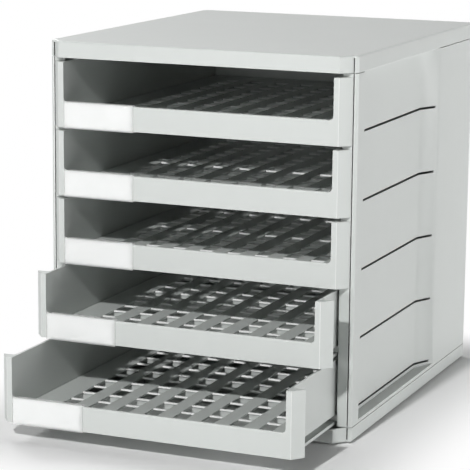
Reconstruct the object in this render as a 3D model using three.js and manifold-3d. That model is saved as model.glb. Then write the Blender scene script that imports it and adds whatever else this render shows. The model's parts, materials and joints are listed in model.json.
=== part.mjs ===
// Desktop file drawer: a moulded cabinet with five open-fronted trays that slide on rails in its side panels.
// Millimetres, +X to the right, +Y from the drawer fronts to the back, +Z up, standing on Z = 0.

import * as THREE from 'three';
import { mergeVertices } from 'three/addons/utils/BufferGeometryUtils.js';
import Module from 'manifold-3d';

const wasm = await Module();
wasm.setup();

// Cabinet as a whole
const width = 275;
const depth = 330;
const height = 320;

// How far each drawer stands open, from the top drawer down
const drawerOpenings = [0, 0, 0, 34, 94];

// Front corners, the same on the base, the cover and the drawer fronts
const chamferWidth = 8.3;
const chamferDepth = 10;
const slitWidth = 1.1;
const slitDepth = 1.8;
const cornerRadius = 3;
const rearRadius = 7;

// Base and cover, two shallow shells that face each other
const footHeight = 1.2;
const baseHeight = 12.4;
const coverHeight = 13.8;
const shellWall = 3;
const coverRounding = 1.8;
const baseRounding = 2.6;
const slitEndMargin = 0.2;
const ribThickness = 1.8;
const ribHeight = 4.5;
const ribStep = 0.6;
const ribSpacing = 62;
const webThickness = 2;

// Side panels: a front post, a recessed wall, a slanted step and a rear zone
const panelWall = 2.7;
const returnWidth = 13.2;
const returnRounding = 1.5;
const postDepth = 17;
const postStep = 3;
const recessDepth = 10.3;
const rearStep = 24;
const rearZone = 102;
const rearReturn = 12.5;
const seamGap = 0.6;
const ledgeThickness = 3;

// Tongues of the side panels that reach into the base and the cover
const tongueHeight = 5;
const tongueThickness = 2.4;
const tongueLength = 30;
const tongueShares = [0.25, 0.75];

// Rails moulded into the side panels, hollow from outside
const railReach = 6.5;
const railRise = 3.4;
const railHeight = 4.6;
const railFoot = 3.5;
const railRearGap = 30;
const shelfThickness = 2.2;
const slotRise = 1.5;
const slotHeight = 2;
const slotStartGap = 1;
const slotEndGap = 5.4;
const railSkin = 1.5;
const stopReach = 3;
const stopLength = 9.2;

// Back panel and the ribs that keep it in place
const backThickness = 2.5;
const backRibHeight = 1.5;
const backRibWidth = 3;
const backRibSpacing = 48;
const keeperThickness = 2;
const keeperReach = 9;

// Trays
const lowestGap = 1.3;
const highestGap = 3.5;
const drawerGap = 3.2;
const trayRearGap = 10;
const sideClearance = 1.7;
const trayWall = 2;
const trayCorner = 4;
const earSeatGap = 0.3;
const earSkin = 2.2;
const gussetWidth = 1.4;
const gussetDepth = 3.4;
const stripHeight = 21;
const stripThickness = 2.8;
const stripRounding = 1.2;
const stripFillet = 3;
const floorLevel = 9.8;
const floorThickness = 1.5;
const skirtInset = 8.6;
const skirtThickness = 2;
const flangeThickness = 2.6;
const crossRibThickness = 1.4;
const crossRibClearance = 1.2;

// Nibs on the skirt of a tray, which end its travel where they meet the stops of the rails
const nibReach = 3.5;
const nibLength = 6;
const nibRearInset = 42;

// Openings of the tray floor
const holeWidth = 12.2;
const holeLength = 17.7;
const columnPitch = 25.4;
const rowPitch = 21.2;
const firstHole = 16.9;
const sideMargin = 25;
const rearMargin = 12;
const rowsPerRib = 2;

// Label holders and cards
const labelWidth = 65.1;
const labelBand = 3;
const labelRecess = 1.2;
const windowThickness = 0.8;
const windowProud = 0.55;
const lipThickness = 0.7;
const hookDrop = 5;
const cardThickness = 0.35;
const sheetGap = 0.15;
const lipGap = 0.25;
const cardMargin = 0.3;

// Feet
const footRadius = 6.5;
const footInset = 24;
const footSeat = 1.1;

// Gap between pieces that are put together, and how far a cutter reaches past the face that it opens
const fit = 0.3;
const overrun = 1;

const arcSteps = 4;
const footSides = 20;

const cabinetPlastic = new THREE.MeshStandardMaterial({ color: 0xd4d8d5, roughness: 0.55, metalness: 0 });
const trayPlastic = new THREE.MeshStandardMaterial({ color: 0xd2d6d3, roughness: 0.5, metalness: 0 });
const clearPlastic = new THREE.MeshStandardMaterial({ color: 0xeef1f0, roughness: 0.15, metalness: 0 });
const paper = new THREE.MeshStandardMaterial({ color: 0xf7f8f7, roughness: 0.8, metalness: 0 });
const rubber = new THREE.MeshStandardMaterial({ color: 0x2b2c2c, roughness: 0.9, metalness: 0 });

// Planes that several pieces share
const halfWidth = width / 2;
const slitOuter = halfWidth - cornerRadius;
const slitInner = slitOuter - slitWidth;
const frontFlat = slitInner - chamferWidth;
const baseTop = footHeight + baseHeight;
const coverBottom = height - coverHeight;
const basePlate = footHeight + shellWall;
const coverPlate = height - shellWall;

const panelLow = baseTop + seamGap;
const panelHigh = coverBottom - seamGap;
const returnEdge = halfWidth - returnWidth;
const postBack = chamferDepth + postDepth;
const recessStart = postBack + postStep;
const rearZoneStart = depth - rearZone;
const recessEnd = rearZoneStart - rearStep;
const recessFace = halfWidth - recessDepth;
const recessInside = recessFace - panelWall;
const sideInside = halfWidth - panelWall;
const backRear = depth - shellWall - fit;
const backFront = backRear - backThickness;

const drawerCount = drawerOpenings.length;
const pitch = (coverBottom - highestGap + drawerGap - baseTop - lowestGap) / drawerCount;
const trayHeight = pitch - drawerGap;
const trayLength = depth - trayRearGap;
const trayHalf = returnEdge - sideClearance;
const trayInside = trayHalf - trayWall;
const floorUnder = floorLevel - floorThickness;
const skirtOuter = trayHalf - skirtInset;
const skirtInner = skirtOuter - skirtThickness;

const railInner = recessInside - railReach;
const railFront = chamferDepth + returnRounding;
const stopRear = railFront + stopLength;

function arc(centre, radius, from, to) {
  const points = [];
  for (let i = 0; i <= arcSteps; i += 1) {
    const angle = THREE.MathUtils.degToRad(from + ((to - from) * i) / arcSteps);
    points.push([centre[0] + radius * Math.cos(angle), centre[1] + radius * Math.sin(angle)]);
  }
  return points;
}

function leftNormal(from, to) {
  const dx = to[0] - from[0];
  const dy = to[1] - from[1];
  const length = Math.hypot(dx, dy);
  return [-dy / length, dx / length];
}

// Moves each point of a path sideways, to the left of its direction of travel
function offsetPath(points, distance, closed) {
  const count = points.length;
  return points.map((point, i) => {
    const before = points[(i + count - 1) % count];
    const after = points[(i + 1) % count];
    const starts = !closed && i === 0;
    const ends = !closed && i === count - 1;
    const into = starts ? leftNormal(point, after) : leftNormal(before, point);
    const out = ends ? into : leftNormal(point, after);
    const stretch = distance / (1 + into[0] * out[0] + into[1] * out[1]);
    return [point[0] + (into[0] + out[0]) * stretch, point[1] + (into[1] + out[1]) * stretch];
  });
}

function ordered(a, b) {
  return [Math.min(a, b), Math.max(a, b)];
}

function rectangle([x0, x1], [y0, y1]) {
  return [[x0, y0], [x1, y0], [x1, y1], [x0, y1]];
}

function mirrorPoints(points) {
  return points.map(([x, y]) => [-x, y]).reverse();
}

// Evenly spaced places centred on zero, as many as fit between the two limits
function centredPlaces(halfSpan, spacing) {
  const count = Math.max(1, Math.floor((2 * halfSpan) / spacing) + 1);
  return Array.from({ length: count }, (_, i) => (i - (count - 1) / 2) * spacing);
}

function toSolid(geometry) {
  geometry.deleteAttribute('normal');
  geometry.deleteAttribute('uv');
  const merged = mergeVertices(geometry);
  return new wasm.Manifold(new wasm.Mesh({
    numProp: 3,
    vertProperties: new Float32Array(merged.attributes.position.array),
    triVerts: new Uint32Array(merged.index.array),
  }));
}

function toGeometry(solid) {
  const mesh = solid.getMesh();
  const geometry = new THREE.BufferGeometry();
  geometry.setAttribute('position', new THREE.BufferAttribute(new Float32Array(mesh.vertProperties), 3));
  geometry.setIndex(new THREE.BufferAttribute(new Uint32Array(mesh.triVerts), 1));
  geometry.computeVertexNormals();
  return geometry;
}

function join(...solids) {
  return solids.flat().reduce((whole, solid) => whole.add(solid));
}

function cut(whole, ...cutters) {
  return whole.subtract(join(...cutters));
}

function extrusion(points, length) {
  const shape = new THREE.Shape(points.map(([u, v]) => new THREE.Vector2(u, v)));
  return new THREE.ExtrudeGeometry(shape, { depth: length, bevelEnabled: false, steps: 1 });
}

// A plan outline of [x, y] points, raised from z0 to z1
function raise(points, z0, z1) {
  return toSolid(extrusion(points, z1 - z0).translate(0, 0, z0));
}

// The same on the right and on the left
function raiseBoth(points, z0, z1) {
  return [points, mirrorPoints(points)].map((outline) => raise(outline, z0, z1));
}

// A profile of [y, z] points, drawn out from x0 to x1
function drawAlongX(points, x0, x1) {
  const turn = new THREE.Matrix4().makeBasis(
    new THREE.Vector3(0, 1, 0),
    new THREE.Vector3(0, 0, 1),
    new THREE.Vector3(1, 0, 0),
  );
  return toSolid(extrusion(points, x1 - x0).applyMatrix4(turn).translate(x0, 0, 0));
}

// A profile of [x, z] points, drawn out from y0 to y1
function drawAlongY(points, y0, y1) {
  const turn = new THREE.Matrix4().makeBasis(
    new THREE.Vector3(1, 0, 0),
    new THREE.Vector3(0, 0, 1),
    new THREE.Vector3(0, -1, 0),
  );
  return toSolid(extrusion(points, y1 - y0).applyMatrix4(turn).translate(0, y1, 0));
}

// One solid through matching rings of [x, y] points, each at its own height
function loft(rings) {
  const count = rings[0].points.length;
  const positions = rings.flatMap(({ points, z }) => points.flatMap(([x, y]) => [x, y, z]));
  const index = [];
  for (let level = 0; level < rings.length - 1; level += 1) {
    for (let i = 0; i < count; i += 1) {
      const low = level * count + i;
      const lowNext = level * count + ((i + 1) % count);
      index.push(low, lowNext, lowNext + count, low, lowNext + count, low + count);
    }
  }
  const outline = rings[0].points.map(([x, y]) => new THREE.Vector2(x, y));
  const top = (rings.length - 1) * count;
  for (const [a, b, c] of THREE.ShapeUtils.triangulateShape(outline, [])) {
    index.push(c, b, a, top + a, top + b, top + c);
  }
  const geometry = new THREE.BufferGeometry();
  geometry.setAttribute('position', new THREE.Float32BufferAttribute(positions, 3));
  geometry.setIndex(index);
  return toSolid(geometry);
}

function mirrorGeometry(geometry) {
  const mirrored = geometry.clone().scale(-1, 1, 1);
  const index = mirrored.index.array;
  for (let i = 0; i < index.length; i += 3) {
    [index[i], index[i + 1]] = [index[i + 1], index[i]];
  }
  mirrored.computeVertexNormals();
  return mirrored;
}

function node(name, geometry, material) {
  const mesh = new THREE.Mesh(geometry, material);
  mesh.name = name;
  return mesh;
}

// Base and cover

function shellOutline(frontRadius) {
  const frontCorner = [halfWidth - frontRadius, chamferDepth + frontRadius];
  const rearCorner = [halfWidth - rearRadius, depth - rearRadius];
  const right = [
    [frontFlat, 0],
    [slitInner, chamferDepth],
    ...(frontRadius > 0 ? arc(frontCorner, frontRadius, -90, 0) : [frontCorner]),
    ...arc(rearCorner, rearRadius, 0, 90),
  ];
  return [...right, ...mirrorPoints(right)];
}

// Rings that round off an edge of a shell, from its vertical face to its flat one
function roundedRings(edge, radius, direction) {
  const outline = shellOutline(cornerRadius);
  return Array.from({ length: arcSteps + 1 }, (_, i) => {
    const angle = (Math.PI / 2) * (i / arcSteps);
    const inset = radius * (1 - Math.cos(angle));
    const drop = radius * (1 - Math.sin(angle));
    return { points: offsetPath(outline, inset, true), z: edge - direction * drop };
  });
}

function slitCutters(z0, z1) {
  const across = [slitInner, slitOuter];
  const inward = [chamferDepth - overrun, chamferDepth + slitDepth];
  return raiseBoth(rectangle(across, inward), z0, z1);
}

function shellPocket(z0, z1) {
  return raise(offsetPath(shellOutline(0), shellWall, true), z0, z1);
}

// Ribs across the inside of a shell, both ways, from inside its plate to the free edge of the longer ones
function shellRibs(root, edge) {
  const step = Math.sign(root - edge) * ribStep;
  const halfRib = ribThickness / 2;
  const side = halfWidth - shellWall / 2;
  const front = shellWall / 2;
  const rear = backFront - fit;
  const middle = (front + rear) / 2;
  const lengthwise = centredPlaces(recessInside - ribSpacing / 2, ribSpacing).map((x) => (
    raise(rectangle([x - halfRib, x + halfRib], [front, rear]), ...ordered(root, edge))
  ));
  const crosswise = centredPlaces((rear - front - ribSpacing) / 2, ribSpacing).map((place) => (
    raise(
      rectangle([-side, side], [middle + place - halfRib, middle + place + halfRib]),
      ...ordered(root - step, edge + step),
    )
  ));
  return [...lengthwise, ...crosswise];
}

// Closes the underside of the cover over the recess of each side panel
function recessWebs() {
  const outer = halfWidth - shellWall / 2;
  const inner = recessFace + fit;
  const outline = [
    [outer, postBack],
    [outer, rearZoneStart],
    [inner, recessEnd],
    [inner, recessStart],
  ];
  return raiseBoth(outline, coverBottom, coverBottom + webThickness);
}

function coverGeometry() {
  const skin = loft([
    { points: shellOutline(cornerRadius), z: coverBottom },
    ...roundedRings(height, coverRounding, 1),
  ]);
  const shell = cut(
    skin,
    shellPocket(coverBottom - overrun, coverPlate),
    ...slitCutters(coverBottom - overrun, height - coverRounding - slitEndMargin),
  );
  return toGeometry(join(shell, recessWebs(), shellRibs(coverPlate + shellWall / 2, coverPlate - ribHeight)));
}

function footPlaces() {
  const x = halfWidth - footInset;
  return [
    { name: 'foot_front_left', x: -x, y: footInset },
    { name: 'foot_front_right', x, y: footInset },
    { name: 'foot_rear_left', x: -x, y: depth - footInset },
    { name: 'foot_rear_right', x, y: depth - footInset },
  ];
}

function footCylinder(radius, z0, z1) {
  const cylinder = new THREE.CylinderGeometry(radius, radius, z1 - z0, footSides);
  return cylinder.rotateX(Math.PI / 2).translate(0, 0, (z0 + z1) / 2);
}

function baseGeometry() {
  const skin = loft([
    ...roundedRings(footHeight, baseRounding, -1).reverse(),
    { points: shellOutline(cornerRadius), z: baseTop },
  ]);
  const seats = footPlaces().map(({ x, y }) => (
    toSolid(footCylinder(footRadius + fit, footHeight - overrun, footHeight + footSeat).translate(x, y, 0))
  ));
  const shell = cut(
    skin,
    shellPocket(basePlate, baseTop + overrun),
    ...slitCutters(footHeight + baseRounding + slitEndMargin, baseTop + overrun),
    ...seats,
  );
  return toGeometry(join(shell, shellRibs(basePlate - shellWall / 2, basePlate + ribHeight)));
}

// Side panels, made as the right one

// Outer face of the panel, from its front return round to its rear return
function panelPath(frontRadius) {
  const frontCorner = [halfWidth - frontRadius, chamferDepth + frontRadius];
  const rearCorner = [halfWidth - rearRadius, depth - rearRadius];
  return [
    ...(frontRadius > 0 ? arc(frontCorner, frontRadius, -90, 0) : [frontCorner]),
    [halfWidth, postBack],
    [recessFace, recessStart],
    [recessFace, recessEnd],
    [halfWidth, rearZoneStart],
    ...arc(rearCorner, rearRadius, 0, 90),
    [halfWidth - rearReturn, depth],
  ];
}

function panelWallSolid() {
  const inner = offsetPath([[returnEdge, chamferDepth], ...panelPath(0)], panelWall, false);
  const returnCorner = [returnEdge + returnRounding, chamferDepth + returnRounding];
  const outline = [
    ...arc(returnCorner, returnRounding, 180, 270),
    ...panelPath(cornerRadius),
    ...inner.reverse(),
  ];
  return raise(outline, panelLow, panelHigh);
}

// Closes the foot of the recess, flush with the outer face
function recessLedge() {
  const inner = recessFace - panelWall / 2;
  return raise([
    [halfWidth, postBack - panelWall / 2],
    [halfWidth, rearZoneStart + panelWall / 2],
    [inner, recessEnd],
    [inner, recessStart],
  ], panelLow, panelLow + ledgeThickness);
}

function railBody(z) {
  const inWall = recessFace - panelWall / 2;
  const shelfStart = rearZoneStart - panelWall / 2;
  const shelfEnd = depth - railRearGap;
  const body = raise([
    [railInner, railFront],
    [inWall + railFoot, railFront],
    [inWall + railFoot, recessStart - panelWall / 2],
    [inWall, recessStart],
    [inWall, recessEnd],
    [sideInside, shelfStart],
    [railInner, shelfStart],
  ], z, z + railHeight);
  const shelf = raise(
    rectangle([railInner, sideInside + panelWall / 2], [shelfStart, shelfEnd]),
    z + railHeight - shelfThickness,
    z + railHeight,
  );
  const stop = raise(
    rectangle([railInner - stopReach, railInner + railSkin], [railFront, stopRear]),
    z,
    z + railHeight,
  );
  return [body, shelf, stop];
}

function railSlot(z) {
  const across = [railInner + railSkin, halfWidth + overrun];
  const along = [recessStart + slotStartGap, rearZoneStart - slotEndGap];
  return raise(rectangle(across, along), z + slotRise, z + slotRise + slotHeight);
}

function tongueSpans() {
  const post = [chamferDepth + shellWall + fit, postBack - shellWall];
  const rearCentre = rearZoneStart + rearZone / 2;
  const rear = [rearCentre - tongueLength / 2, rearCentre + tongueLength / 2];
  const recess = tongueShares.map((share) => {
    const centre = recessStart + share * (recessEnd - recessStart);
    return [centre - tongueLength / 2, centre + tongueLength / 2];
  });
  return { outer: [post, rear], recess };
}

function tongues() {
  const outerFace = halfWidth - shellWall - fit;
  const innerFace = outerFace - tongueThickness;
  const across = [innerFace, outerFace];
  const root = [innerFace, sideInside + panelWall / 2];
  const spans = tongueSpans();
  const topRange = [panelHigh - tongueHeight, panelHigh + tongueHeight];
  const lowRange = [panelLow - tongueHeight, panelLow + tongueHeight];
  const outer = spans.outer.flatMap((span) => [
    raise(rectangle(across, span), ...topRange),
    raise(rectangle(root, span), topRange[0], panelHigh),
    raise(rectangle(across, span), ...lowRange),
    raise(rectangle(root, span), panelLow, lowRange[1]),
  ]);
  const recess = spans.recess.flatMap((span) => [
    raise(rectangle([recessInside, recessFace], span), ...topRange),
    raise(rectangle(across, span), lowRange[0], panelLow + ledgeThickness / 2),
  ]);
  return [...outer, ...recess];
}

function keeperRib() {
  const rear = backFront - fit;
  return raise(
    rectangle([sideInside - keeperReach, sideInside + panelWall / 2], [rear - keeperThickness, rear]),
    panelLow,
    panelHigh,
  );
}

function sidePanelGeometry() {
  const railHeights = trayHeights().map((z) => z + railRise);
  const whole = join(
    panelWallSolid(),
    recessLedge(),
    railHeights.map(railBody).flat(),
    tongues(),
    keeperRib(),
  );
  const groove = raise(
    rectangle([slitInner, slitOuter], [chamferDepth - overrun, chamferDepth + slitDepth]),
    panelLow - overrun,
    panelHigh + overrun,
  );
  return toGeometry(cut(whole, groove, railHeights.map(railSlot)));
}

// Back panel

function backPanelGeometry() {
  const half = halfWidth - rearRadius;
  const sheet = raise(rectangle([-half, half], [backFront, backRear]), basePlate + fit, coverPlate - fit);
  const ribs = centredPlaces(half - backRibSpacing / 2, backRibSpacing).map((x) => raise(
    rectangle([x - backRibWidth / 2, x + backRibWidth / 2], [backFront - backRibHeight, backFront + fit]),
    panelLow + fit,
    panelHigh - fit,
  ));
  return toGeometry(join(sheet, ribs));
}

// Trays

// Heights of the undersides of the trays, from the top one down
function trayHeights() {
  return drawerOpenings.map((_, i) => baseTop + lowestGap + pitch * (drawerCount - 1 - i));
}

// Plan of a tray: front, chamfered ears with a gusset behind each, side walls and rear wall
function trayOutline() {
  const back = chamferDepth - earSeatGap;
  const right = [
    [frontFlat, 0],
    [frontFlat + (chamferWidth * back) / chamferDepth, back],
    [trayHalf + gussetWidth, back],
    [trayHalf, back + gussetDepth],
    ...arc([trayHalf - trayCorner, trayLength - trayCorner], trayCorner, 0, 90),
  ];
  return [...right, ...mirrorPoints(right)];
}

// Room above the floor, inside the walls
function trayRoom() {
  const radius = trayCorner - trayWall;
  const rear = trayLength - trayWall;
  const right = [
    [trayInside, stripThickness],
    ...arc([trayInside - radius, rear - radius], radius, 0, 90),
  ];
  return raise([...right, ...mirrorPoints(right)], floorLevel, trayHeight + overrun);
}

// Opening above the front strip, with filleted lower corners
function frontOpening() {
  const right = [
    ...arc([trayInside - stripFillet, stripHeight + stripFillet], stripFillet, -90, 0),
    [trayInside, trayHeight + overrun],
  ];
  return drawAlongY([...right, ...mirrorPoints(right)], -overrun, stripThickness + overrun);
}

// Rounds off both top edges of the front strip
function stripEdges() {
  const r = stripRounding;
  const top = stripHeight + overrun;
  const span = trayInside - stripFillet;
  const front = [[-overrun, top], [-overrun, stripHeight - r], ...arc([r, stripHeight - r], r, 180, 90), [r, top]];
  const rearCentre = stripThickness - r;
  const rear = [
    [rearCentre, top],
    ...arc([rearCentre, stripHeight - r], r, 90, 0),
    [stripThickness + overrun, stripHeight - r],
    [stripThickness + overrun, top],
  ];
  return [front, rear].map((profile) => drawAlongX(profile, -span, span));
}

// Hollows of the underside: the ears from below, the side grooves, and the bays between the cross ribs
function undersideHollows() {
  const earCore = [
    [trayInside, 0],
    [frontFlat, 0],
    [frontFlat + chamferWidth, chamferDepth],
    [trayInside, chamferDepth],
  ];
  const underEar = rectangle(
    [skirtOuter, trayHalf - earSkin],
    [stripThickness, chamferDepth - earSeatGap - earSkin],
  );
  const grooveRear = trayLength + overrun;
  const groove = rectangle([skirtOuter, halfWidth], [chamferDepth - earSeatGap, grooveRear]);
  const ribCentres = rowStarts()
    .filter((_, i) => i % rowsPerRib === 0)
    .map((start) => start + (holeLength + rowPitch) / 2);
  const bayStarts = [stripThickness, ...ribCentres.map((y) => y + crossRibThickness / 2)];
  const bayEnds = [...ribCentres.map((y) => y - crossRibThickness / 2), trayLength - trayWall];
  const bays = bayStarts.map((start, i) => (
    raise(rectangle([-skirtInner, skirtInner], [start, bayEnds[i]]), -overrun, floorUnder)
  ));
  const acrossRibs = raise(
    rectangle([-skirtInner, skirtInner], [stripThickness, trayLength - trayWall]),
    -overrun,
    crossRibClearance,
  );
  return [
    ...raiseBoth(offsetPath(earCore, earSkin, true), -overrun, trayHeight - earSkin),
    ...raiseBoth(underEar, -overrun, floorUnder),
    ...raiseBoth(groove, flangeThickness, floorUnder),
    ...bays,
    acrossRibs,
  ];
}

function rowStarts() {
  const space = trayLength - rearMargin - firstHole - holeLength;
  const count = Math.floor(space / rowPitch) + 1;
  return Array.from({ length: count }, (_, i) => firstHole + i * rowPitch);
}

function floorHoles() {
  const columns = centredPlaces(trayInside - sideMargin - holeWidth / 2, columnPitch);
  return rowStarts().flatMap((y) => columns.map((x) => raise(
    rectangle([x - holeWidth / 2, x + holeWidth / 2], [y, y + holeLength]),
    floorUnder - crossRibThickness,
    floorLevel + overrun,
  )));
}

function trayNibs() {
  const rear = trayLength - nibRearInset;
  const inSkirt = (skirtInner + skirtOuter) / 2;
  return raiseBoth(
    rectangle([inSkirt, skirtOuter + nibReach], [rear - nibLength, rear]),
    railRise,
    floorUnder + floorThickness / 2,
  );
}

function labelRecessCutter() {
  const start = -trayInside;
  const top = stripHeight + lipGap + lipThickness + lipGap;
  return raise(rectangle([start, start + labelWidth], [-overrun, labelRecess]), -overrun, top);
}

function trayGeometry() {
  const shell = cut(
    raise(trayOutline(), 0, trayHeight),
    trayRoom(),
    frontOpening(),
    ...stripEdges(),
    ...undersideHollows(),
    labelRecessCutter(),
  );
  return toGeometry(join(cut(shell, floorHoles()), trayNibs()));
}

// Label holders

function labelWindowGeometry() {
  const left = -trayInside + fit;
  const right = -trayInside + labelWidth - fit;
  const front = -windowProud;
  const back = front + windowThickness;
  const top = stripHeight + lipGap + lipThickness;
  const bottom = -lipGap - lipThickness;
  const hookFront = stripThickness + lipGap;
  const plate = drawAlongX(rectangle([front, back], [bottom, top]), left, right);
  const lips = [
    rectangle([front, hookFront + windowThickness], [top - lipThickness, top]),
    rectangle([hookFront, hookFront + windowThickness], [top - hookDrop, top]),
    rectangle([front, stripThickness], [bottom, bottom + lipThickness]),
  ];
  const lipLeft = -trayInside + stripFillet + fit;
  return toGeometry(join(plate, lips.map((profile) => drawAlongX(profile, lipLeft, right))));
}

function labelCardGeometry() {
  const left = -trayInside + 2 * fit;
  const right = -trayInside + labelWidth - fit - labelBand;
  const back = labelRecess - sheetGap;
  return toGeometry(drawAlongX(
    rectangle([back - cardThickness, back], [cardMargin, stripHeight - cardMargin]),
    left,
    right,
  ));
}

// The assembly, with the middle of its outline at the origin

const cabinet = new THREE.Group();
cabinet.position.y = (Math.max(...drawerOpenings) + windowProud - depth) / 2;

const rightPanel = sidePanelGeometry();
cabinet.add(
  node('top_cover', coverGeometry(), cabinetPlastic),
  node('base_plate', baseGeometry(), cabinetPlastic),
  node('left_side_panel', mirrorGeometry(rightPanel), cabinetPlastic),
  node('right_side_panel', rightPanel, cabinetPlastic),
  node('back_panel', backPanelGeometry(), cabinetPlastic),
);

const tray = trayGeometry();
const labelWindow = labelWindowGeometry();
const labelCard = labelCardGeometry();
trayHeights().forEach((z, i) => {
  const drawer = new THREE.Group();
  drawer.position.set(0, -drawerOpenings[i], z);
  drawer.add(
    node(`drawer_tray_${i + 1}`, tray, trayPlastic),
    node(`label_window_${i + 1}`, labelWindow, clearPlastic),
    node(`label_card_${i + 1}`, labelCard, paper),
  );
  cabinet.add(drawer);
});

const footTop = footHeight + footSeat - fit;
for (const { name, x, y } of footPlaces()) {
  const foot = node(name, footCylinder(footRadius, 0, footTop), rubber);
  foot.position.set(x, y, 0);
  cabinet.add(foot);
}

export default cabinet;
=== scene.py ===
import json
import math

import bmesh
import bpy
from bpy.props import FloatProperty, FloatVectorProperty, IntProperty, PointerProperty
from bpy.types import Operator, Panel, PropertyGroup
from mathutils import Matrix, Vector

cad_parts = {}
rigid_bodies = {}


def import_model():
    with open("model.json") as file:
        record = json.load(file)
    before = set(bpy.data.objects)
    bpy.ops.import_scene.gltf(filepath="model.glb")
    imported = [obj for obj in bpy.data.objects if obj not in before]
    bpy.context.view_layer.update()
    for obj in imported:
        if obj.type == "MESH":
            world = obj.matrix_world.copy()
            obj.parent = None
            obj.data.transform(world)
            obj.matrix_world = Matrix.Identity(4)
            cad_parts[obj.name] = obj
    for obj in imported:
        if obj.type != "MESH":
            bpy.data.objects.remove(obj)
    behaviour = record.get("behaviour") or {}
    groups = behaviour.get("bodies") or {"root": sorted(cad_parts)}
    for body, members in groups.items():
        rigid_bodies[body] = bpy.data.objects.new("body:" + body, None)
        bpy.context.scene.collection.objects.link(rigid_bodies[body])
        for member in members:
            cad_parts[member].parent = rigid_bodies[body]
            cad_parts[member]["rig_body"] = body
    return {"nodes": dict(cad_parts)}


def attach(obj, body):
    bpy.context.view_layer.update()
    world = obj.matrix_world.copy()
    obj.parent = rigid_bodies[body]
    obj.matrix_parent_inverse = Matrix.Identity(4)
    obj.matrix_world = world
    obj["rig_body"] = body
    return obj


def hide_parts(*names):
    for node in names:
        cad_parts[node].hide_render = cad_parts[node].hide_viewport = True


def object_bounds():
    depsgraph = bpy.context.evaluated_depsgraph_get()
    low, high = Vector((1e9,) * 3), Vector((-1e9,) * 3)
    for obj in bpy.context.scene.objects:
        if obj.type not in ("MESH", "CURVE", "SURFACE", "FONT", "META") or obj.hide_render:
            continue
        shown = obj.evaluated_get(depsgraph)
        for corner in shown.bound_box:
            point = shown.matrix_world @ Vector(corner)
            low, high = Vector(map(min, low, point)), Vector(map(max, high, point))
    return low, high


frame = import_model()
cad_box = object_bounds()

bl_info = {
    "name": "Desktop File Drawer",
    "version": (1, 0, 0),
    "blender": (4, 5, 0),
    "location": "View3D > Sidebar > File Drawer",
    "description": "Dresses the cabinet, its trays and label holders, and sets up the studio",
    "category": "Object",
}

SHELLS = ("top_cover", "base_plate")
PANELS = ("left_side_panel", "right_side_panel", "back_panel")
DRAWERS = range(1, 6)
FEET = ("foot_front_left", "foot_front_right", "foot_rear_left", "foot_rear_right")

# Lengths are in metres throughout

# Corners closer than this are one corner
WELD_DISTANCE = 0.00001
# The seams of the shells end in a step a fifth of a millimetre high, which is closed up
STEP_DISTANCE = 0.00025
# Neighbouring faces that differ by less than this are one face
FLAT_ANGLE = math.radians(0.3)
# Edges sharper than this are rounded
EDGE_ANGLE = math.radians(30)
# Outer edges longer than this get the broad rounding
LONG_EDGE = 0.02
# Profile of a rounding that is part of a circle
ROUND_PROFILE = 0.5
# Upward part of the normal from which on a face looks straight up
UPWARD = 0.99
# Decimals to which the height of a floor and the sides of its openings are told apart
HEIGHT_DECIMALS = 4
SIDE_DECIMALS = 5
# Faces with more corners than this are cut into triangles
MOST_CORNERS = 4

# Size of the marks in each kind of texture
FLOW_MARKS = 0.09
EDGE_HIGHLIGHT_MOTTLE = 0.012
SHEET_WAVES = 0.02
PAPER_FIBRE = 0.0006
RUBBER_DUST = 0.003
# Range that most of a noise lies in, and how quickly its finer layers fade
NOISE_LOW, NOISE_HIGH = 0.3, 0.7
NOISE_ROUGHNESS = 0.6
# A seam is painted fully dark as shade where this little of its surroundings is open, and left
# unshaded from the other on
SHADED_BELOW, UNSHADED_ABOVE = 0.25, 0.55
SEAM_SHADE_SAMPLES = 6
PLASTIC_IOR = 1.49

FLOOR_ROUGHNESS = 0.9
# Distance from the middle of the floor to its sides
FLOOR_REACH = 20
# Middle of the cabinet
MIDDLE = (0, 0, 0.16)
# Name, shape, place, target, length and width of each lamp
LAMPS = (
    ("key", "DISK", (0.05, -1.82, 1.37), (0, -0.2, 0.16), 0.09, 0.09),
    ("front", "RECTANGLE", (-0.2, -2.6, 0.25), MIDDLE, 0.4, 0.3),
    ("side", "RECTANGLE", (1.9, 0.1, 0.25), MIDDLE, 0.8, 0.4),
    ("rear", "RECTANGLE", (1.7, 1.0, 0.25), MIDDLE, 0.8, 0.4),
    ("left", "RECTANGLE", (-1.6, 1.2, 1.6), MIDDLE, 0.9, 0.6),
    ("top", "RECTANGLE", (-0.1, 0.6, 1.8), MIDDLE, 0.9, 0.9),
)
# Width of the camera's sensor in millimetres
SENSOR_WIDTH = 36
# Nearest and farthest distance that the camera shows
CLIP_START, CLIP_END = 0.05, 100


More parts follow.
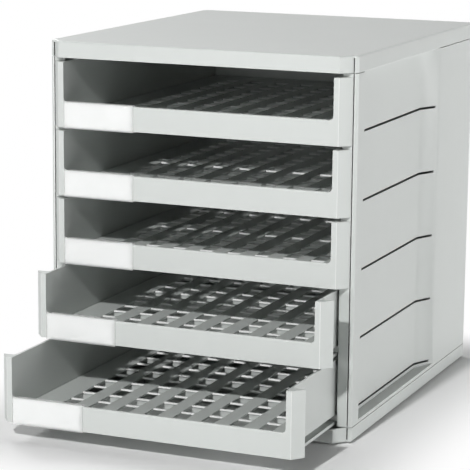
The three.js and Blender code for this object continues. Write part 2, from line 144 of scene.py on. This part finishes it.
class MouldingSettings(PropertyGroup):
    """Finish of the cabinet and the trays"""

    colour: FloatVectorProperty(
        name="Plastic",
        description="Colour of the moulded plastic",
        subtype="COLOR",
        size=3,
        min=0,
        max=1,
        default=(0.595, 0.62, 0.603),
    )
    roughness: FloatProperty(
        name="Roughness",
        description="How dull the moulded plastic is",
        subtype="FACTOR",
        min=0,
        max=1,
        default=0.42,
    )
    # Light colour painted on the rounded edges as a highlight
    highlight_edge_colour: FloatVectorProperty(
        name="Rubbed edges",
        description="Colour of the plastic along the edges, where handling has rubbed it lighter",
        subtype="COLOR",
        size=3,
        min=0,
        max=1,
        default=(0.92, 0.93, 0.92),
    )
    # Roughness of the edges that are painted lighter as a highlight
    edge_roughness: FloatProperty(
        name="Edge roughness",
        description="How dull the rubbed edges are",
        subtype="FACTOR",
        min=0,
        max=1,
        default=0.26,
    )
    edge_rounding: FloatProperty(
        name="Edge rounding",
        description="Radius of the small rounding along every moulded edge",
        subtype="DISTANCE",
        unit="LENGTH",
        min=0,
        max=0.001,
        default=0.0003,
    )
    edge_steps: IntProperty(
        name="Edge steps",
        description="Number of faces across each small rounding",
        min=1,
        max=4,
        default=2,
    )
    broad_rounding: FloatProperty(
        name="Broad rounding",
        description="Radius of the rounding along the long edges and round the drawer fronts",
        subtype="DISTANCE",
        unit="LENGTH",
        min=0,
        max=0.001,
        default=0.0005,
    )
    rim_rounding: FloatProperty(
        name="Rim rounding",
        description="Radius of the rounding along the cross bars of the tray floors",
        subtype="DISTANCE",
        unit="LENGTH",
        min=0,
        max=0.0012,
        default=0.0011,
    )
    broad_steps: IntProperty(
        name="Broad steps",
        description="Number of faces across each broad rounding and each rounded rim",
        min=1,
        max=6,
        default=4,
    )
    # Near-black colour painted into the narrow seams as shade
    seam_shade_colour: FloatVectorProperty(
        name="Dust",
        description="Colour of the dust in the narrow seams",
        subtype="COLOR",
        size=3,
        min=0,
        max=1,
        default=(0.015, 0.017, 0.016),
    )
    # How narrow a seam must be for the painted shade to reach into it
    seam_shade_reach: FloatProperty(
        name="Dust reach",
        description="How far apart the sides of a seam may be for dust to stay in it",
        subtype="DISTANCE",
        unit="LENGTH",
        min=0.0005,
        max=0.01,
        default=0.004,
    )
    grain_size: FloatProperty(
        name="Grain",
        description="Size of the fine grain that the mould leaves",
        subtype="DISTANCE",
        unit="LENGTH",
        min=0.0001,
        max=0.01,
        default=0.0009,
    )
    grain_depth: FloatProperty(
        name="Grain depth",
        description="Depth of the fine grain",
        subtype="DISTANCE",
        unit="LENGTH",
        min=0,
        max=0.001,
        default=0.00004,
    )


class LabelSettings(PropertyGroup):
    """Finish of the label holders and their cards"""

    window_colour: FloatVectorProperty(
        name="Window",
        description="Tint of the clear holders",
        subtype="COLOR",
        size=3,
        min=0,
        max=1,
        default=(0.95, 0.96, 0.955),
    )
    window_opacity: FloatProperty(
        name="Window opacity",
        description="How much of what lies behind the clear holders is hidden",
        subtype="FACTOR",
        min=0,
        max=1,
        default=0.28,
    )
    window_rounding: FloatProperty(
        name="Window rounding",
        description="Radius of the rounding along the edges of the clear holders",
        subtype="DISTANCE",
        unit="LENGTH",
        min=0,
        max=0.0003,
        default=0.00012,
    )
    card_colour: FloatVectorProperty(
        name="Card",
        description="Colour of the label cards",
        subtype="COLOR",
        size=3,
        min=0,
        max=1,
        default=(0.95, 0.955, 0.95),
    )
    card_rounding: FloatProperty(
        name="Card rounding",
        description="Radius of the rounding along the edges of the cards",
        subtype="DISTANCE",
        unit="LENGTH",
        min=0,
        max=0.0001,
        default=0.00003,
    )
    edge_steps: IntProperty(
        name="Edge steps",
        description="Number of faces across each rounded edge",
        min=1,
        max=4,
        default=1,
    )


class FootSettings(PropertyGroup):
    """Finish of the feet"""

    colour: FloatVectorProperty(
        name="Rubber",
        description="Colour of the feet",
        subtype="COLOR",
        size=3,
        min=0,
        max=1,
        default=(0.03, 0.031, 0.031),
    )
    edge_rounding: FloatProperty(
        name="Edge rounding",
        description="Radius of the rounding round the rims of the feet",
        subtype="DISTANCE",
        unit="LENGTH",
        min=0,
        max=0.0005,
        default=0.0003,
    )
    edge_steps: IntProperty(
        name="Edge steps",
        description="Number of faces across each rounded rim",
        min=1,
        max=4,
        default=3,
    )


class StudioSettings(PropertyGroup):
    """Floor, lamps and camera"""

    floor_colour: FloatVectorProperty(
        name="Floor",
        description="Colour of the floor",
        subtype="COLOR",
        size=3,
        min=0,
        max=1,
        default=(0.9, 0.9, 0.9),
    )
    clear_distance: FloatProperty(
        name="Clear distance",
        description="How far out from the cabinet the floor has turned plain white",
        subtype="DISTANCE",
        unit="LENGTH",
        min=0.1,
        max=2,
        default=0.1,
    )
    key_power: FloatProperty(
        name="Key lamp",
        description="Power of the small lamp above the front",
        unit="POWER",
        min=0,
        max=100,
        default=30,
    )
    front_power: FloatProperty(
        name="Front softbox",
        description="Power of the low softbox in front",
        unit="POWER",
        min=0,
        max=100,
        default=12,
    )
    side_power: FloatProperty(
        name="Side softbox",
        description="Power of the softbox on the right",
        unit="POWER",
        min=0,
        max=100,
        default=9.5,
    )
    rear_power: FloatProperty(
        name="Rear softbox",
        description="Power of the softbox behind the right side",
        unit="POWER",
        min=0,
        max=100,
        default=9.5,
    )
    left_power: FloatProperty(
        name="Left softbox",
        description="Power of the softbox high up behind the left side",
        unit="POWER",
        min=0,
        max=100,
        default=23,
    )
    top_power: FloatProperty(
        name="Top softbox",
        description="Power of the softbox overhead",
        unit="POWER",
        min=0,
        max=100,
        default=2.2,
    )
    camera_place: FloatVectorProperty(
        name="Camera",
        description="Where the camera stands",
        subtype="TRANSLATION",
        unit="LENGTH",
        size=3,
        default=(0.68962, -1.662635, 0.50013),
    )
    camera_turn: FloatProperty(
        name="Turn",
        description="How far the camera is turned to the left of straight ahead",
        subtype="ANGLE",
        unit="ROTATION",
        default=math.radians(22.908),
    )
    camera_tilt: FloatProperty(
        name="Tilt",
        description="How far the camera looks down",
        subtype="ANGLE",
        unit="ROTATION",
        default=math.radians(11.18),
    )
    camera_roll: FloatProperty(
        name="Roll",
        description="How far the camera is turned about its own axis",
        subtype="ANGLE",
        unit="ROTATION",
        default=math.radians(0.532),
    )
    focal_length: FloatProperty(
        name="Focal length",
        description="Focal length of the camera",
        unit="CAMERA",
        min=10,
        max=500,
        default=159.834,
    )


class FileDrawerSettings(PropertyGroup):
    """All the settings of the file drawer"""

    moulding: PointerProperty(
        name="Moulding", description="Finish of the cabinet and the trays", type=MouldingSettings
    )
    label: PointerProperty(
        name="Labels", description="Finish of the label holders and their cards", type=LabelSettings
    )
    foot: PointerProperty(name="Feet", description="Finish of the feet", type=FootSettings)
    studio: PointerProperty(
        name="Studio", description="Floor, lamps and camera", type=StudioSettings
    )


# Materials


def add_node(tree, kind, **values):
    """Adds a shader node and sets the inputs that are named"""
    node = tree.nodes.new(kind)
    for name, value in values.items():
        node.inputs[name.replace("_", " ")].default_value = value
    return node


def new_material(name):
    """A material, its nodes, its shader and the coordinates that its textures start from"""
    material = bpy.data.materials.new(name)
    material.use_nodes = True
    tree = material.node_tree
    shader = tree.nodes["Principled BSDF"]
    place = tree.nodes.new("ShaderNodeTexCoord").outputs["Object"]
    return material, tree, shader, place


def add_noise(tree, place, size, detail):
    """A noise whose marks are about the given size"""
    noise = add_node(
        tree, "ShaderNodeTexNoise", Scale=1 / size, Detail=detail, Roughness=NOISE_ROUGHNESS
    )
    tree.links.new(place, noise.inputs["Vector"])
    return noise.outputs["Fac"]


def add_range(tree, value, start, end, low, high):
    """Turns the values from start to end into the values from low to high"""
    span = add_node(
        tree, "ShaderNodeMapRange", From_Min=start, From_Max=end, To_Min=low, To_Max=high
    )
    tree.links.new(value, span.inputs["Value"])
    return span


def add_tone(tree, noise, colour, spread):
    """Lets a colour drift a little lighter and darker with a noise"""
    ramp = tree.nodes.new("ShaderNodeValToRGB")
    darker, lighter = ramp.color_ramp.elements
    darker.position, lighter.position = NOISE_LOW, NOISE_HIGH
    darker.color = [part * (1 - spread) for part in colour] + [1]
    lighter.color = [min(1, part * (1 + spread)) for part in colour] + [1]
    tree.links.new(noise, ramp.inputs["Fac"])
    return ramp.outputs["Color"]


def add_painted_seam_shade(tree, colour, settings):
    """Paints shade into a colour, darkening it where a seam is narrow"""
    # Painted shade: the less open a seam's surroundings, the darker the colour is painted
    seam = add_node(tree, "ShaderNodeAmbientOcclusion", Distance=settings.seam_shade_reach)
    seam.only_local = True
    seam.samples = SEAM_SHADE_SAMPLES
    dust_and_painted_shade = add_range(tree, seam.outputs["AO"], SHADED_BELOW, UNSHADED_ABOVE, 1.0, 0.0)
    mix = tree.nodes.new("ShaderNodeMixRGB")
    mix.inputs["Color2"].default_value = (*settings.seam_shade_colour, 1)
    tree.links.new(dust_and_painted_shade.outputs["Result"], mix.inputs["Fac"])
    tree.links.new(colour, mix.inputs["Color1"])
    return mix.outputs["Color"]


def set_finish(tree, shader, colour, noise, low, high):
    """Gives a surface a colour, and a roughness that goes from low to high with a noise"""
    tree.links.new(colour, shader.inputs["Base Color"])
    rough = add_range(tree, noise, NOISE_LOW, NOISE_HIGH, low, high)
    tree.links.new(rough.outputs["Result"], shader.inputs["Roughness"])


def add_bump(tree, shader, noise, depth):
    """Raises the surface with a noise"""
    bump = add_node(tree, "ShaderNodeBump", Strength=1.0, Distance=depth)
    tree.links.new(noise, bump.inputs["Height"])
    tree.links.new(bump.outputs["Normal"], shader.inputs["Normal"])


def moulded_plastic(name, settings):
    """Plastic with the fine grain and the faint flow marks of a moulding, and painted shade in its
    narrow seams
    """
    material, tree, shader, place = new_material(name)
    flow = add_noise(tree, place, FLOW_MARKS, detail=3)
    grain = add_noise(tree, place, settings.grain_size, detail=2)
    # Narrow seams get painted shade
    tone = add_painted_seam_shade(tree, add_tone(tree, flow, settings.colour, spread=0.012), settings)
    dull = settings.roughness
    set_finish(tree, shader, tone, grain, low=dull - 0.05, high=dull + 0.05)
    add_bump(tree, shader, grain, settings.grain_depth)
    shader.inputs["IOR"].default_value = PLASTIC_IOR
    return material


def painted_highlight_plastic(name, settings):
    """The same plastic on the rounded edges, smoother, painted lighter as a highlight and a little
    uneven in tone
    """
    material, tree, shader, place = new_material(name)
    highlight_mottle = add_noise(tree, place, EDGE_HIGHLIGHT_MOTTLE, detail=4)
    # The edges are painted lighter than the plastic, as a highlight
    tone = add_tone(tree, highlight_mottle, settings.highlight_edge_colour, spread=0.03)
    dull = settings.edge_roughness
    set_finish(tree, shader, tone, highlight_mottle, low=dull - 0.04, high=dull + 0.04)
    shader.inputs["IOR"].default_value = PLASTIC_IOR
    return material


def clear_plastic(name, settings):
    """Clear sheet with a faint waviness"""
    material, tree, shader, place = new_material(name)
    waves = add_noise(tree, place, SHEET_WAVES, detail=1)
    tone = add_tone(tree, waves, settings.window_colour, spread=0.01)
    set_finish(tree, shader, tone, waves, low=0.08, high=0.14)
    add_bump(tree, shader, waves, depth=0.0001)
    shader.inputs["Alpha"].default_value = settings.window_opacity
    shader.inputs["IOR"].default_value = PLASTIC_IOR
    return material


def card_stock(name, settings):
    """Plain white card with a short paper fibre"""
    material, tree, shader, place = new_material(name)
    fibre = add_noise(tree, place, PAPER_FIBRE, detail=4)
    tone = add_tone(tree, fibre, settings.card_colour, spread=0.01)
    set_finish(tree, shader, tone, fibre, low=0.75, high=0.9)
    add_bump(tree, shader, fibre, depth=0.00002)
    return material


def foot_rubber(name, settings):
    """Dull dark rubber with a little dust on it"""
    material, tree, shader, place = new_material(name)
    dust_and_painted_shade = add_noise(tree, place, RUBBER_DUST, detail=4)
    tone = add_tone(tree, dust_and_painted_shade, settings.colour, spread=0.2)
    set_finish(tree, shader, tone, dust_and_painted_shade, low=0.8, high=0.95)
    add_bump(tree, shader, dust_and_painted_shade, depth=0.00005)
    return material


# Pieces


def put_in_scene(name, data):
    """A new object in the scene"""
    holder = bpy.data.objects.new(name, data)
    bpy.context.scene.collection.objects.link(holder)
    return holder


def finished_mesh(work, name):
    """Turns a mesh that was worked on into one that an object can have"""
    mesh = bpy.data.meshes.new(name)
    work.to_mesh(mesh)
    work.free()
    return mesh


def level_of_floor(work):
    """The height of a tray's floor, which has more upward area than any other level"""
    areas = {}
    for face in work.faces:
        if face.normal.z > UPWARD:
            level = round(face.calc_center_median().z, HEIGHT_DECIMALS)
            areas[level] = areas.get(level, 0) + face.calc_area()
    return max(areas, key=areas.get)


def lies_at(part, level):
    """Whether all the corners of an edge or a face are at a height"""
    return all(abs(corner.co.z - level) < WELD_DISTANCE for corner in part.verts)


def is_outer(edge):
    """Whether an edge points outwards and is sharp enough to be rounded"""
    return edge.is_convex and edge.calc_face_angle(0) > EDGE_ANGLE


def rims_along(work, level, axis):
    """The upper edges of the openings in a tray floor that run along x (0) or y (1)"""
    rims = []
    for edge in work.edges:
        start, end = (corner.co for corner in edge.verts)
        straight = abs(start[1 - axis] - end[1 - axis]) < WELD_DISTANCE
        if straight and lies_at(edge, level) and is_outer(edge):
            rims.append(edge)
    return rims


def part_floor(work, level):
    """Draws a seam across the floor along each column of openings, so that bars end squarely"""
    rims = rims_along(work, level, 1)
    for side in sorted({round(rim.verts[0].co.x, SIDE_DECIMALS) for rim in rims}):
        top = [face for face in work.faces if lies_at(face, level)]
        edges = dict.fromkeys(edge for face in top for edge in face.edges)
        corners = dict.fromkeys(corner for face in top for corner in face.verts)
        cut = bmesh.ops.bisect_plane(
            work,
            geom=[*corners, *edges, *top],
            dist=WELD_DISTANCE,
            plane_co=(side, 0, 0),
            plane_no=(1, 0, 0),
        )
        for part in cut["geom_cut"]:
            if isinstance(part, bmesh.types.BMEdge):
                part.seam = True


def round_in_place(work, edges, radius, steps):
    """Rounds edges of a mesh that is worked on, and gives the new faces the second material"""
    bmesh.ops.bevel(
        work,
        geom=edges,
        offset=radius,
        segments=steps,
        profile=ROUND_PROFILE,
        affect="EDGES",
        clamp_overlap=True,
        material=1,
    )


def clean_copy(node, name, weld=WELD_DISTANCE, broad_rounding=0, rim_rounding=0, steps=1):
    """Copies a CAD node into a mesh of its own, with as few faces as its shape allows"""
    work = bmesh.new()
    work.from_mesh(frame["nodes"][node].data)
    bmesh.ops.remove_doubles(work, verts=work.verts, dist=weld)
    if rim_rounding:
        level = level_of_floor(work)
        part_floor(work, level)
    bmesh.ops.dissolve_limit(
        work,
        angle_limit=FLAT_ANGLE,
        use_dissolve_boundaries=False,
        verts=work.verts,
        edges=work.edges,
        delimit={"SEAM"},
    )
    if rim_rounding:
        round_in_place(work, rims_along(work, level, 0), rim_rounding, steps)
    if broad_rounding:
        long_edges = [
            edge for edge in work.edges if is_outer(edge) and edge.calc_length() > LONG_EDGE
        ]
        round_in_place(work, long_edges, broad_rounding, steps)
    many_sided = [face for face in work.faces if len(face.verts) > MOST_CORNERS]
    bmesh.ops.triangulate(work, faces=many_sided, ngon_method="BEAUTY")
    for face in work.faces:
        face.smooth = True
    return finished_mesh(work, name)


def dress(node, ending, slot, finish, rounding, edge_steps, **shape):
    """Puts a rounded piece in the place of a CAD node, with the last material on its edges"""
    name = f"{node}_{ending}"
    piece = put_in_scene(name, clean_copy(node, name, **shape))
    for material in finish:
        piece.data.materials.append(material)
    bevel = piece.modifiers.new("Edge rounding", "BEVEL")
    bevel.limit_method = "ANGLE"
    bevel.angle_limit = EDGE_ANGLE
    bevel.width = rounding
    bevel.segments = edge_steps
    bevel.use_clamp_overlap = True
    bevel.miter_outer = "MITER_ARC"
    bevel.material = len(finish) - 1
    normals = piece.modifiers.new("Flat faces", "WEIGHTED_NORMAL")
    normals.keep_sharp = True
    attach(piece, frame["nodes"][node]["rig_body"])
    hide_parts(node)


class FILEDRAWER_OT_cabinet(Operator):
    """Dresses the cover, the base, the side panels and the back panel"""

    bl_idname = "filedrawer.cabinet"
    bl_label = "Dress the Cabinet"

    def execute(self, context):
        settings = context.scene.file_drawer.moulding
        plastic = moulded_plastic("cabinet_plastic", settings)
        # The rounded edges get a lighter material, a painted highlight
        edges = painted_highlight_plastic("cabinet_painted_highlight_edges", settings)
        for node in SHELLS + PANELS:
            dress(
                node,
                "moulding",
                "cabinet_plastic",
                (plastic, edges),
                settings.edge_rounding,
                settings.edge_steps,
                weld=STEP_DISTANCE if node in SHELLS else WELD_DISTANCE,
                broad_rounding=settings.broad_rounding,
                steps=settings.broad_steps,
            )
        return {"FINISHED"}


class FILEDRAWER_OT_trays(Operator):
    """Dresses the five trays"""

    bl_idname = "filedrawer.trays"
    bl_label = "Dress the Trays"

    def execute(self, context):
        settings = context.scene.file_drawer.moulding
        plastic = moulded_plastic("tray_plastic", settings)
        # The rounded edges get a lighter material, a painted highlight
        edges = painted_highlight_plastic("tray_painted_highlight_edges", settings)
        for number in DRAWERS:
            dress(
                f"drawer_tray_{number}",
                "moulding",
                "tray_plastic",
                (plastic, edges),
                settings.edge_rounding,
                settings.edge_steps,
                broad_rounding=settings.broad_rounding,
                rim_rounding=settings.rim_rounding,
                steps=settings.broad_steps,
            )
        return {"FINISHED"}


class FILEDRAWER_OT_label_windows(Operator):
    """Dresses the clear label holders"""

    bl_idname = "filedrawer.label_windows"
    bl_label = "Dress the Label Holders"

    def execute(self, context):
        settings = context.scene.file_drawer.label
        sheet = clear_plastic("clear_plastic", settings)
        for number in DRAWERS:
            dress(
                f"label_window_{number}",
                "sheet",
                "clear_plastic",
                (sheet,),
                settings.window_rounding,
                settings.edge_steps,
            )
        return {"FINISHED"}


class FILEDRAWER_OT_label_cards(Operator):
    """Dresses the label cards"""

    bl_idname = "filedrawer.label_cards"
    bl_label = "Dress the Label Cards"

    def execute(self, context):
        settings = context.scene.file_drawer.label
        card = card_stock("label_card", settings)
        for number in DRAWERS:
            dress(
                f"label_card_{number}",
                "sheet",
                "label_card",
                (card,),
                settings.card_rounding,
                settings.edge_steps,
            )
        return {"FINISHED"}


class FILEDRAWER_OT_feet(Operator):
    """Dresses the four feet"""

    bl_idname = "filedrawer.feet"
    bl_label = "Dress the Feet"

    def execute(self, context):
        settings = context.scene.file_drawer.foot
        rubber = foot_rubber("foot_rubber", settings)
        for node in FEET:
            dress(
                node,
                "pad",
                "foot_rubber",
                (rubber,),
                settings.edge_rounding,
                settings.edge_steps,
            )
        return {"FINISHED"}


# Studio


def add_math(tree, operation, first, second=0):
    """Works out an operation on two values, each of which is a socket or a number"""
    node = tree.nodes.new("ShaderNodeMath")
    node.operation = operation
    for socket, value in zip(node.inputs, (first, second)):
        if isinstance(value, bpy.types.NodeSocket):
            tree.links.new(value, socket)
        else:
            socket.default_value = value
    return node.outputs["Value"]


def seen_directly(tree):
    """One for what the camera sees, also mirrored or through a clear piece, and nought for light"""
    path = tree.nodes.new("ShaderNodeLightPath")
    seen = path.outputs["Is Camera Ray"]
    for ray in ("Is Glossy Ray", "Is Transmission Ray"):
        seen = add_math(tree, "MAXIMUM", seen, path.outputs[ray])
    return seen


def distance_outside(tree, place):
    """How far a point on the floor is outside the CAD's box"""
    split = tree.nodes.new("ShaderNodeSeparateXYZ")
    tree.links.new(place, split.inputs["Vector"])
    low, high = cad_box
    squares = []
    for axis in range(2):
        middle = (low[axis] + high[axis]) / 2
        off = add_math(tree, "SUBTRACT", split.outputs[axis], middle)
        off = add_math(tree, "ABSOLUTE", off)
        off = add_math(tree, "SUBTRACT", off, (high[axis] - low[axis]) / 2)
        off = add_math(tree, "MAXIMUM", off, 0)
        squares.append(add_math(tree, "MULTIPLY", off, off))
    return add_math(tree, "SQRT", add_math(tree, "ADD", *squares))


def white_floor(settings):
    """Pale floor that takes the shadow near the cabinet and turns plain white farther out"""
    material, tree, shader, place = new_material("studio_floor")
    shader.inputs["Base Color"].default_value = (*settings.floor_colour, 1)
    shader.inputs["Roughness"].default_value = FLOOR_ROUGHNESS
    shader.inputs["Specular IOR Level"].default_value = 0
    far = distance_outside(tree, place)
    fade = add_range(tree, far, 0.0, settings.clear_distance, 0.0, 1.0)
    fade.interpolation_type = "SMOOTHSTEP"
    share = add_math(tree, "MULTIPLY", fade.outputs["Result"], seen_directly(tree))
    white = add_node(tree, "ShaderNodeEmission", Color=(1, 1, 1, 1), Strength=1.0)
    blend = tree.nodes.new("ShaderNodeMixShader")
    tree.links.new(share, blend.inputs["Fac"])
    tree.links.new(shader.outputs["BSDF"], blend.inputs[1])
    tree.links.new(white.outputs["Emission"], blend.inputs[2])
    tree.links.new(blend.outputs["Shader"], tree.nodes["Material Output"].inputs["Surface"])
    return material


def lay_floor(settings):
    """A large floor under the cabinet"""
    work = bmesh.new()
    bmesh.ops.create_grid(work, x_segments=1, y_segments=1, size=FLOOR_REACH)
    floor = put_in_scene("studio_floor", finished_mesh(work, "studio_floor"))
    floor.data.materials.append(white_floor(settings))


def light_surroundings():
    """White surroundings for what is seen directly, which give no light of their own"""
    world = bpy.data.worlds.new("studio_surroundings")
    world.use_nodes = True
    bpy.context.scene.world = world
    tree = world.node_tree
    tree.nodes.clear()
    background = add_node(tree, "ShaderNodeBackground", Color=(1, 1, 1, 1))
    output = tree.nodes.new("ShaderNodeOutputWorld")
    tree.links.new(seen_directly(tree), background.inputs["Strength"])
    tree.links.new(background.outputs["Background"], output.inputs["Surface"])


def hang_lamp(name, shape, place, target, length, width, power):
    """An area lamp that points at a target"""
    lamp = bpy.data.lights.new(name, "AREA")
    lamp.shape = shape
    lamp.size = length
    lamp.size_y = width
    lamp.energy = power
    holder = put_in_scene(name, lamp)
    holder.location = place
    direction = Vector(target) - Vector(place)
    holder.rotation_euler = direction.to_track_quat("-Z", "Y").to_euler()


def set_camera(settings):
    """The camera at the photograph's viewing angle"""
    camera = bpy.data.cameras.new("photo_camera")
    camera.lens = settings.focal_length
    camera.sensor_width = SENSOR_WIDTH
    camera.clip_start = CLIP_START
    camera.clip_end = CLIP_END
    holder = put_in_scene("photo_camera", camera)
    holder.location = settings.camera_place
    holder.rotation_euler = (
        Matrix.Rotation(settings.camera_turn, 4, "Z")
        @ Matrix.Rotation(math.pi / 2 - settings.camera_tilt, 4, "X")
        @ Matrix.Rotation(settings.camera_roll, 4, "Z")
    ).to_euler()
    bpy.context.scene.camera = holder


class FILEDRAWER_OT_studio(Operator):
    """Sets up the floor, the lamps and the camera"""

    bl_idname = "filedrawer.studio"
    bl_label = "Set Up the Studio"

    def execute(self, context):
        settings = context.scene.file_drawer.studio
        lay_floor(settings)
        light_surroundings()
        powers = (
            settings.key_power,
            settings.front_power,
            settings.side_power,
            settings.rear_power,
            settings.left_power,
            settings.top_power,
        )
        for lamp, power in zip(LAMPS, powers):
            hang_lamp(*lamp, power)
        set_camera(settings)
        context.scene.view_settings.view_transform = "Standard"
        return {"FINISHED"}


STEPS = (
    FILEDRAWER_OT_cabinet,
    FILEDRAWER_OT_trays,
    FILEDRAWER_OT_label_windows,
    FILEDRAWER_OT_label_cards,
    FILEDRAWER_OT_feet,
    FILEDRAWER_OT_studio,
)


class FILEDRAWER_PT_panel(Panel):
    """Lists the steps that dress the file drawer"""

    bl_idname = "FILEDRAWER_PT_panel"
    bl_label = "File Drawer"
    bl_space_type = "VIEW_3D"
    bl_region_type = "UI"
    bl_category = "File Drawer"

    def draw(self, context):
        for step in STEPS:
            self.layout.operator(step.bl_idname)


CLASSES = (
    MouldingSettings,
    LabelSettings,
    FootSettings,
    StudioSettings,
    FileDrawerSettings,
    *STEPS,
    FILEDRAWER_PT_panel,
)


def register():
    for kind in CLASSES:
        bpy.utils.register_class(kind)
    bpy.types.Scene.file_drawer = PointerProperty(type=FileDrawerSettings)


def unregister():
    del bpy.types.Scene.file_drawer
    for kind in reversed(CLASSES):
        bpy.utils.unregister_class(kind)


def main():
    register()
    bpy.ops.filedrawer.cabinet()
    bpy.ops.filedrawer.trays()
    bpy.ops.filedrawer.label_windows()
    bpy.ops.filedrawer.label_cards()
    bpy.ops.filedrawer.feet()
    bpy.ops.filedrawer.studio()


if __name__ == "__main__":
    main()
